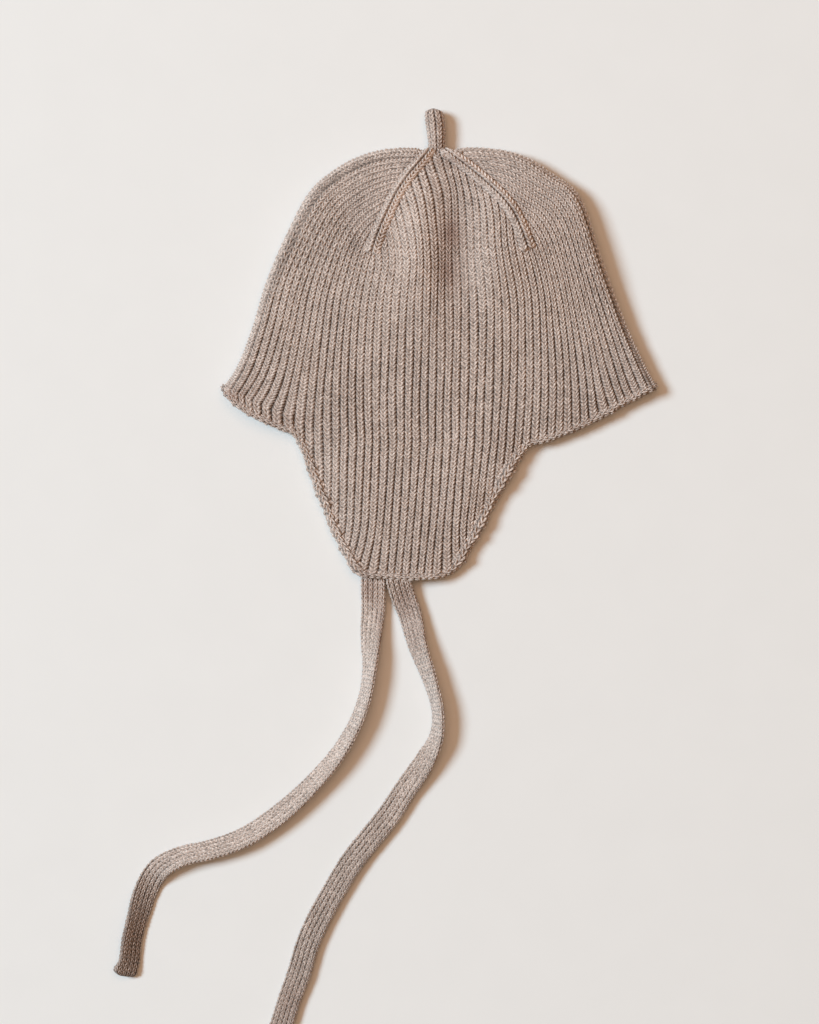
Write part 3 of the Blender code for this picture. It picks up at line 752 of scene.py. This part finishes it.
def rim_chain(finish):
    """The bound-off edge: a chain of loops round the rim, thicker on the slanted sides of the flaps."""
    turn = np.linspace(0.0, 2.0, 2001)
    points, facing = body_face(turn, edge_level(np.minimum(turn, 2 - turn)))
    line, facing, turn = even_line(RIM_ROW, points - facing * WALL / 2, facing, turn)
    facing = unit(facing)
    sideways = np.cross(unit(np.gradient(line, axis=0)), facing)
    rib = np.minimum(turn, 2 - turn)[:, 0]
    slanted = np.interp(rib, SELVEDGE_RIBS, SELVEDGE_SHARES)
    random = np.random.default_rng(67)
    unevenness = RIM_UNEVENNESS + SELVEDGE_UNEVENNESS * slanted
    uneven = 1 + unevenness * random.uniform(-1, 1, len(rib))
    radii = (RIM_RADIUS + (SELVEDGE_RADIUS - RIM_RADIUS) * slanted) * uneven
    line = line + sideways * random.uniform(-RIM_SHIFT, RIM_SHIFT, (len(rib), 1))
    line[:, 2] = np.maximum(line[:, 2], radii + CREST)

    def section(wale, row):
        angle = 2 * math.pi * (wale - 0.5) / RIM_WALES
        radius = np.interp(row, np.arange(len(radii)), radii)
        return radius * np.sin(angle), radius * np.cos(angle), np.sin(angle), np.cos(angle)

    face = tube_face(line, sideways, facing, section)
    return knit("rim_chain", (0, RIM_WALES), (0, len(line) - 1), SHOWN, face, RIM_KNIT, finish, closed=True,
                seed=61)


def crown_ridge(name, ridge, finish):
    """A decrease ridge of the crown: two wales that stand proud, side by side, with a free foot."""
    levels = np.linspace(0.96, 1.985, 200)
    points, facing = body_face(np.full_like(levels, ridge), levels)
    line, facing = even_line(RIDGE_ROW, points, facing)
    sideways = np.cross(unit(np.gradient(line, axis=0)), unit(facing))
    rows = len(line) - 1

    def section(wale, row):
        side = wale - 1
        splay = 1 + RIDGE_SPLAY * np.exp(-np.maximum(row, 0.0) / 3)
        narrow = 1 - RIDGE_NARROWING * np.clip(row / rows, 0.0, 1.0)
        rounded = np.sqrt(1 - (1 - np.clip(row / RIDGE_FOOT_ROWS, 0.0, 1.0)) ** 2)
        across = side * RIDGE_STRAND * splay * narrow
        lift = RIDGE_LIFT * rounded * (1 - side * side) + RIDGE_BASE - RIDGE_FOOT_SINK * (1 - rounded)
        return across, lift, 0.35 * side, np.ones_like(across)

    def furrow(wale, row):
        return 1.7 - 1.65 * np.abs(wale - 1)

    # Painted light on the ridge's shaded right strand, and painted shade on its lit left one
    def tone(wale, row):
        return RIDGE_TONE + RIDGE_SIDE_PAINTED_LIGHT * np.clip(wale - 1, -1.0, 1.0)

    face = tube_face(line, sideways, unit(facing), section)
    return knit(name, (0, 2), (0, rows), SHOWN, face, RIDGE_KNIT, finish, furrow, lift=0.0, seed=71,
                tone=tone)


def gathered_top(finish):
    """A short band of gathered loops at the top of the crown, its ends sunk into the knitting."""
    knots = np.arange(len(GATHER_BAND))
    places = smooth_weights(knots, np.linspace(0, knots[-1], 60)) @ GATHER_BAND
    line, = even_line(RIDGE_ROW, raised(places, True))
    line[:, 2] -= GATHER_SINK * np.abs(np.linspace(-1, 1, len(line))) ** 3
    upward = np.tile((0.0, 0.0, 1.0), (len(line), 1))
    sideways = np.cross(unit(np.gradient(line, axis=0)), upward)
    rows = len(line) - 1

    def section(wale, row):
        angle = 2 * math.pi * (wale - 0.5) / RIM_WALES
        radius = RIM_RADIUS * np.sqrt(np.maximum(1 - (2 * row / rows - 1) ** 4, 0.01))
        return radius * np.sin(angle), radius * np.cos(angle), np.sin(angle), np.cos(angle)

    face = tube_face(line, sideways, upward, section)
    return knit("gathered_top_knit", (0, RIM_WALES), (0, rows), SHOWN, face, RIM_KNIT, finish, closed=True,
                seed=81)


def inner_face(finish):
    """The inner face of both layers, one sheet right round the hollow."""
    turns = np.arange(0, 4 * WALES) / (2 * WALES)
    shares = np.linspace(0.0, 1.0, 25)
    turn, share = np.meshgrid(turns, shares, indexing="ij")
    edge = edge_level(np.minimum(turn, 2 - turn))
    level = edge + share * (1.9 - edge)
    points, facing = body_face(turn, level)
    wave = np.cos(2 * math.pi * turn * WALES)
    points = points - facing * (WALL + INNER_RIB * wave)[..., None]
    faces = join_grid(*turn.shape, closed=True)[:, ::-1]
    none = np.zeros_like(turn)
    # Painted light on the ribs' crests and painted shade between them
    marks = {"open_share": INNER_OPENNESS + INNER_RIB_PAINTED_SHADE * wave, "wale_at": turn * WALES,
             "row_at": level * BRIM_ROWS, "tone": none, "red": none}
    return add_mesh("inner_face_knit", points, faces, finish, marks)


def tube_face(centre, sideways, upward, section):
    """Place of knitting round a tube, from its middle line and its two cross directions, one to a row."""
    known = np.arange(len(centre))

    def face(wale, row):
        at = np.clip(row, 0, len(centre) - 1)
        middle, side, up = (np.stack([np.interp(at, known, line[:, k]) for k in range(3)], axis=-1)
                            for line in (centre, sideways, upward))
        across, above, out_across, out_above = section(wale, at)
        point = middle + side * across[..., None] + up * above[..., None]
        facing = side * out_across[..., None] + up * out_above[..., None]
        return point, facing
    return face


def stadium(wale, row, rows):
    """Cross-section of a flat tie with round edges, rounded off at both ends, with a knob at the free one."""
    flat = TIE_WIDTH - TIE_THICKNESS
    radius = TIE_THICKNESS / 2
    around = 2 * flat + 2 * math.pi * radius
    s = (wale / TIE_WALES * around) % around
    half_turn = math.pi * radius
    on_top = s < flat
    right_edge = (s >= flat) & (s < flat + half_turn)
    below = (s >= flat + half_turn) & (s < 2 * flat + half_turn)
    angle = np.where(right_edge, (s - flat) / radius, (s - 2 * flat - half_turn) / radius)
    across = np.where(on_top, s - flat / 2, np.where(below, flat / 2 - (s - flat - half_turn), 0.0))
    out_across = np.where(on_top | below, 0.0, np.where(right_edge, np.sin(angle), -np.sin(angle)))
    out_of_edge = np.where(right_edge, np.cos(angle), -np.cos(angle))
    out_above = np.where(on_top, 1.0, np.where(below, -1.0, out_of_edge))
    middle = np.where(on_top | below, across, np.where(right_edge, flat / 2, -flat / 2))
    from_end = np.clip(np.minimum(row, rows - row) / TIE_END_ROWS, 0.0, 1.0)
    full = np.sqrt(np.maximum(1 - (1 - from_end) ** 2, 0.0))
    knob = np.exp(-((rows - row - KNOB_ROW) / KNOB_REACH) ** 2)
    uneven = TIE_UNEVENNESS * drift(row * 0.35, out_across, 43)
    wide = (TIE_END_WIDTH + (1 - TIE_END_WIDTH) * full) * (1 + KNOB_WIDENING * knob + uneven)
    inner = radius - CREST
    thick = inner + KNOB_RISE * knob * (out_above > 0)
    return ((middle + out_across * inner) * wide + KNOB_SHIFT * knob, out_above * thick * full,
            out_across * full, out_above * full)


def tie_line(route):
    """Middle line of a tie, one point to a row, with its two cross directions."""
    stops = np.array([(stop.across, stop.along, stop.lift, stop.turn) for stop in route])
    steps = np.linalg.norm(np.diff(stops[:, :2], axis=0), axis=1)
    lengths = np.concatenate(([0.0], np.cumsum(steps)))
    count = round(lengths[-1] / TIE_ROW) + 1
    across, along, lift, turn = (smooth_weights(lengths, np.linspace(0.0, lengths[-1], count)) @ stops).T
    angle = -np.radians(turn)
    half_height = np.abs(np.sin(angle)) * (TIE_WIDTH - TIE_THICKNESS) / 2 + TIE_THICKNESS / 2
    centre = np.column_stack([across, along, np.maximum(lift, GROUND) + half_height - TIE_SETTLING])
    ahead = np.gradient(centre, axis=0)
    ahead /= np.linalg.norm(ahead, axis=1, keepdims=True)
    level = np.cross(ahead, (0.0, 0.0, 1.0))
    level /= np.linalg.norm(level, axis=1, keepdims=True)
    upright = np.cross(level, ahead)
    sideways = level * np.cos(angle)[:, None] + upright * np.sin(angle)[:, None]
    upward = np.cross(sideways, ahead)
    return centre, sideways, upward


def knitted_tie(name, route, node, tones, finish):
    """A flat knitted tie on its route, of the route's length."""
    centre, sideways, upward = tie_line(route)
    rows = len(centre) - 1

    def section(wale, row):
        return stadium(wale, row, rows)

    def furrow(wale, row):
        slow = drift(wale * 0.9, row * 0.13, 23)
        return np.maximum(0.9 + 0.55 * slow + 0.45 * by_stitch(wale + 0.5, row, 29), 0.1)

    # Light and dark painted along the tie, painted shade at the lower flap tie's free end
    def tone(wale, row):
        return np.interp(row / rows, *tones)

    face = tube_face(centre, sideways, upward, section)
    tie = knit(name, (0, TIE_WALES), (0, rows), TIE_FINE, face, TIE_KNIT, finish, furrow, closed=True,
               seed=41, tone=tone)
    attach(tie, "root")
    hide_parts(node)


def knitted_stem(finish):
    """The short stem on the crown: a knitted cord with a round end and a hidden root, leaning left."""
    rows = round(STEM_LENGTH / STEM_ROW)
    up = np.arange(-STEM_ROOT_ROWS, rows + 1) / rows
    x, y, z = STEM_FOOT
    centre = np.column_stack([x - STEM_LEAN * up ** 2, y + STEM_LENGTH * up, np.full(len(up), z)])
    sideways = np.tile((1.0, 0.0, 0.0), (len(up), 1))
    upward = np.tile((0.0, 0.0, 1.0), (len(up), 1))

    def section(wale, row):
        angle = 2 * math.pi * wale / STEM_WALES
        share = (row - STEM_ROOT_ROWS) / rows
        girth = np.interp(share, *STEM_GIRTHS)
        radius = STEM_DIAMETER / 2 * girth
        return radius * np.sin(angle), radius * np.cos(angle), np.sin(angle) * girth, np.cos(angle) * girth

    face = tube_face(centre, sideways, upward, section)
    stem = knit("top_stem_knit", (0, STEM_WALES), (0, rows + STEM_ROOT_ROWS), SHOWN, face, STEM_KNIT, finish,
                closed=True, seed=51)
    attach(stem, "root")
    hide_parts("top_stem")


class Value:
    """A socket of a material. An expression on values adds its Math nodes."""

    def __init__(self, finish, socket):
        self.finish = finish
        self.socket = socket

    def math(self, operation, first, second=None):
        inputs = {0: first} if second is None else {0: first, 1: second}
        return self.finish.node("Math", {"operation": operation}, inputs)

    def __add__(self, other):
        return self.math("ADD", self, other)

    def __sub__(self, other):
        return self.math("SUBTRACT", self, other)

    def __rsub__(self, other):
        return self.math("SUBTRACT", other, self)

    def __mul__(self, other):
        return self.math("MULTIPLY", self, other)

    def sine(self):
        return self.math("SINE", self)

    def clamped(self):
        return self.math("MINIMUM", self.math("MAXIMUM", self, 0.0), 1.0)

    __radd__ = __add__
    __rmul__ = __mul__


class Finish:
    """A material under making."""

    def __init__(self, name):
        self.material = bpy.data.materials.new(name)
        self.material.use_nodes = True
        self.tree = self.material.node_tree
        self.shader = self.tree.nodes["Principled BSDF"]

    def node(self, kind, settings=None, inputs=None, output=0):
        """A node of a kind, its settings set first, and then the values or links of its sockets."""
        made = self.tree.nodes.new("ShaderNode" + kind)
        for setting, value in (settings or {}).items():
            setattr(made, setting, value)
        for socket, value in (inputs or {}).items():
            self.put(made.inputs[socket], value)
        return Value(self, made.outputs[output])

    def put(self, socket, value):
        """A value or a link for one socket."""
        if isinstance(value, Value):
            self.tree.links.new(value.socket, socket)
        else:
            socket.default_value = value

    def mark(self, name):
        """A number stored at the points of the mesh."""
        return self.node("Attribute", {"attribute_type": "GEOMETRY", "attribute_name": name}, output="Fac")

    def speckle(self, scale, detail=2.0):
        """Uneven spots of some size over the surface, about 0.5."""
        place = self.node("TexCoord", output="Object")
        return self.node("TexNoise", inputs={"Vector": place, "Scale": scale, "Detail": detail}, output="Fac")

    def mixed(self, share, first, second):
        """A colour between two colours."""
        return self.node("Mix", {"data_type": "RGBA"}, {0: share, 6: first, 7: second}, output=2)


def colour(red, green, blue):
    """A screen colour, 0 to 255, as a shader colour."""
    shares = [channel / 255 for channel in (red, green, blue)]
    return (*[s / 12.92 if s <= 0.04045 else ((s + 0.055) / 1.055) ** 2.4 for s in shares], 1.0)


def knitted_wool(wool):
    """Soft wool yarn: painted shade in the furrows and painted light on the crests, speckled like a melange,
    with a fine twist and fuzz.
    """
    finish = Finish(wool.name)
    openness = finish.mark("open_share")
    melange = finish.speckle(MELANGE_SCALE, 3.0)
    patches = finish.speckle(PATCH_SCALE)
    uneven = (melange - 0.5) * MELANGE_STRENGTH + (patches - 0.5) * PATCH_STRENGTH + finish.mark("tone")
    # Painted light on open places and crests, mixed with the melange's specks and the painted tone
    lightness = (openness * 1.2 - 0.5 + uneven).clamped()
    # Painted warm shade and a redder tint, from the painted spots
    redness = finish.mark("red").clamped()
    plain = finish.mixed(lightness, colour(*wool.usual), colour(*wool.light))
    body = finish.mixed(redness, plain, colour(*WARM_SHADE_AND_REDDER_WOOL))
    # Painted shade in the furrows, mixed with the melange's specks and the painted tone
    dark_share = (0.9 - openness * 1.5 - uneven * 0.7).clamped()
    finish.put(finish.shader.inputs["Base Color"], finish.mixed(dark_share, body, colour(*wool.deep)))
    finish.shader.inputs["Roughness"].default_value = 0.92
    finish.shader.inputs["Sheen Weight"].default_value = 0.25
    finish.shader.inputs["Sheen Roughness"].default_value = 0.6
    twist = (finish.mark("wale_at") * TWIST[0] + finish.mark("row_at") * TWIST[1]).sine() * 0.5
    fuzz = finish.speckle(FUZZ_SCALE, 3.0)
    bump = finish.node("Bump", inputs={"Strength": 0.8, "Distance": 0.0004, "Height": twist * 0.3 + fuzz},
                       output="Normal")
    finish.put(finish.shader.inputs["Normal"], bump)
    return finish.material


def pale_floor():
    """A plain pale floor that goes out of sight on all sides."""
    corners = FLOOR_HALF * np.array([(-1, -1, 0), (1, -1, 0), (1, 1, 0), (-1, 1, 0)])
    finish = Finish("floor_paint")
    grain = finish.speckle(40.0)
    paint = finish.mixed(grain, *[colour(*tint) for tint in FLOOR_COLOURS])
    finish.put(finish.shader.inputs["Base Color"], paint)
    finish.shader.inputs["Roughness"].default_value = 0.9
    floor = add_mesh("pale_floor", corners, np.array([[0, 1, 2, 3]]), finish.material, {})
    floor.location.z = -FLOOR_DROP


def camera():
    """The camera, straight above the middle of the picture."""
    data = bpy.data.cameras.new("camera")
    data.sensor_width = SENSOR
    data.lens = SENSOR * (CAMERA_HEIGHT - SCALE_HEIGHT) / (PICTURE_HEIGHT * METRES_PER_PIXEL)
    data.clip_end = 50.0
    seen_from = bpy.data.objects.new("camera", data)
    seen_from.location = (*PICTURE_MIDDLE, CAMERA_HEIGHT)
    bpy.context.scene.collection.objects.link(seen_from)
    bpy.context.scene.camera = seen_from


def lights():
    """A soft window light from the left, a warm soft light from above and a faint light from all round."""
    middle = np.array((*PICTURE_MIDDLE, 0.0))
    soft_light("window_light", np.array((-4.47, 1.09, 5.135)), middle, size=2.5, energy=491.0,
               tint=(0.650, 0.85, 0.985))
    soft_light("warm_light", middle + (-0.1, 0.7, 3.0), middle, size=2.6, energy=33.0, tint=(1.0, 0.62, 0.41))
    world = bpy.data.worlds.new("soft_room")
    world.use_nodes = True
    sky = world.node_tree.nodes["Background"]
    sky.inputs["Color"].default_value = (1.0, 0.70, 0.45, 1.0)
    sky.inputs["Strength"].default_value = 0.20
    bpy.context.scene.world = world


def soft_light(name, place, target, size, energy, tint):
    """A round soft light that shines from a place at a target."""
    data = bpy.data.lights.new(name, "AREA")
    data.shape = "DISK"
    data.size = size
    data.energy = energy
    data.color = tint
    lamp = bpy.data.objects.new(name, data)
    lamp.location = place
    x, y, z = unit(target - place)
    lamp.rotation_euler = (math.acos(-z), 0.0, math.atan2(y, x) - math.pi / 2)
    bpy.context.scene.collection.objects.link(lamp)


def main():
    """Dress the bonnet, and set up the camera, the floor and the lights."""
    camera()
    tie_wool = knitted_wool(TIE_WOOL)
    knitted_tie("lower_flap_tie_knit", LOWER_FLAP_TIE_ROUTE, "lower_flap_tie", LOWER_FLAP_TIE_TONES, tie_wool)
    knitted_tie("upper_flap_tie_knit", UPPER_FLAP_TIE_ROUTE, "upper_flap_tie", UPPER_FLAP_TIE_TONES, tie_wool)
    body_wool = knitted_wool(BODY_WOOL)
    pieces = layer_pieces(True, body_wool) + layer_pieces(False, body_wool)
    pieces += [inner_face(body_wool), rim_chain(body_wool), gathered_top(body_wool)]
    pieces += [crown_ridge("left_ridge_knit", LEFT_RIDGE, body_wool),
               crown_ridge("right_ridge_knit", RIGHT_RIDGE, body_wool)]
    for piece in pieces:
        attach(piece, "root")
        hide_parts("bonnet_body")
    knitted_stem(knitted_wool(STEM_WOOL))
    pale_floor()
    lights()
    bpy.context.scene.view_settings.view_transform = "Standard"


main()
